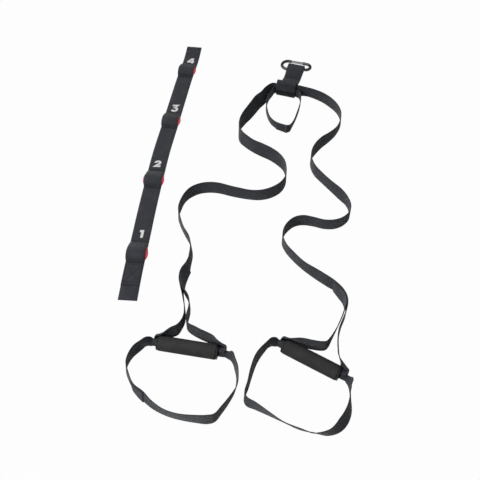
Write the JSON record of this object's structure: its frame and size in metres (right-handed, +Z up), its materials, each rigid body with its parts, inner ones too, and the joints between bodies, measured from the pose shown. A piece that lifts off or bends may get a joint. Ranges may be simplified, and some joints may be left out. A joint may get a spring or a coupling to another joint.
{
  "type": "suspension trainer",
  "caption": "Webbing suspension trainer laid out on the floor: snap hook, anchor strap, stabiliser loop, two legs with foam grips and foot cradles, and a separate looped extender strap.",
  "frame": {"origin": "centre of the footprint on the floor, within 5 mm, measured without the two loose legs", "axes": "+Z up from the floor, +Y from the foot cradles to the snap hook, +X to the right, seen from the foot cradles"},
  "size_m": [0.5068, 1.1268, 0.0443],
  "materials": {
    "webbing": "woven polyester",
    "foam": "matt closed-cell foam",
    "tube_plastic": "moulded",
    "hook_metal": "dark grey coating",
    "gate_metal": "bright",
    "lining_red": "woven tape"
  },
  "bodies": {
    "anchor": {"anchor_strap": "webbing", "anchor_sleeve": "webbing", "main_strap_centre": "webbing", "stabiliser_centre": "webbing"},
    "hook": {"snap_hook_body": "hook_metal", "snap_hook_gate_pin": "hook_metal"},
    "gate": {"snap_hook_gate": "gate_metal", "snap_hook_gate_spring": "gate_metal"},
    "stabiliser": {"stabiliser_loop": "webbing"},
    "left_leg": {"left_leg_strap": "webbing"},
    "right_leg": {"right_leg_strap": "webbing"},
    "left_yoke": {"left_yoke_strap": "webbing"},
    "right_yoke": {"right_yoke_strap": "webbing"},
    "left_grip": {"left_grip_foam": "foam", "left_grip_tube": "tube_plastic", "left_grip_ring_left": "tube_plastic", "left_grip_ring_right": "tube_plastic"},
    "right_grip": {"right_grip_foam": "foam", "right_grip_tube": "tube_plastic", "right_grip_ring_left": "tube_plastic", "right_grip_ring_right": "tube_plastic"},
    "left_cradle": {"left_foot_cradle": "webbing"},
    "right_cradle": {"right_foot_cradle": "webbing"},
    "extender": {"extender_ground_strap": "webbing", "extender_top_strap_1": "webbing", "extender_top_strap_2": "webbing", "extender_top_strap_3": "webbing", "extender_top_strap_4": "webbing", "extender_top_strap_5": "webbing", "extender_loop_strap_1": "webbing", "extender_loop_strap_2": "webbing", "extender_loop_strap_3": "webbing", "extender_loop_strap_4": "webbing", "extender_lining_1": "lining_red", "extender_lining_2": "lining_red", "extender_lining_3": "lining_red", "extender_lining_4": "lining_red"}
  },
  "joints": [
    {"name": "hook_swing", "type": "hinge", "parent": "anchor", "child": "hook", "pos_m": [0.1761, 0.4559, 0.0063], "axis": [0.998, -0.063, 0], "range_deg": [0, 120]},
    {"name": "gate_swing", "type": "hinge", "parent": "hook", "child": "gate", "pos_m": [0.1991, 0.4793, 0.0063], "axis": [0, 0, 1], "range_deg": [0, 13], "stiffness_Nm_per_rad": 0.02, "springref_deg": -8.59},
    {"name": "stabiliser_fold", "type": "hinge", "parent": "anchor", "child": "stabiliser", "pos_m": [0.1419, 0.3578, 0.0271], "axis": [-0.9563, 0.2924, 0], "range_deg": [0, 45]},
    {"name": "left_leg_swing", "type": "hinge", "parent": "anchor", "child": "left_leg", "pos_m": [0.1184, 0.3677, 0], "axis": [0, 0, 1], "range_deg": [-5.5, 0]},
    {"name": "right_leg_swing", "type": "hinge", "parent": "anchor", "child": "right_leg", "pos_m": [0.1669, 0.3528, 0], "axis": [0, 0, 1], "range_deg": [0, 20]},
    {"name": "left_yoke_swing", "type": "hinge", "parent": "left_leg", "child": "left_yoke", "pos_m": [-0.084, -0.187, 0], "axis": [0, 0, 1], "range_deg": [-15, 0]},
    {"name": "right_yoke_swing", "type": "hinge", "parent": "right_leg", "child": "right_yoke", "pos_m": [0.205, -0.24, 0], "axis": [0, 0, 1], "range_deg": [0, 25]},
    {"name": "left_grip_spin", "type": "hinge", "parent": "left_yoke", "child": "left_grip", "pos_m": [-0.0795, -0.38925, 0.016], "axis": [0.9846, -0.175, 0], "continuous": true},
    {"name": "right_grip_spin", "type": "hinge", "parent": "right_yoke", "child": "right_grip", "pos_m": [0.15825, -0.415, 0.016], "axis": [0.863, -0.5052, 0], "continuous": true},
    {"name": "left_cradle_swing", "type": "hinge", "parent": "left_yoke", "child": "left_cradle", "pos_m": [-0.0795, -0.38925, 0.016], "axis": [0.9846, -0.175, 0], "range_deg": [-150, 150]},
    {"name": "right_cradle_swing", "type": "hinge", "parent": "right_yoke", "child": "right_cradle", "pos_m": [0.15825, -0.415, 0.016], "axis": [0.863, -0.5052, 0], "range_deg": [-150, 150]},
    {"name": "extender_lift", "type": "slide", "parent": "anchor", "child": "extender", "axis": [0, 0, 1], "range_m": [0, 0.3]}
  ]
}
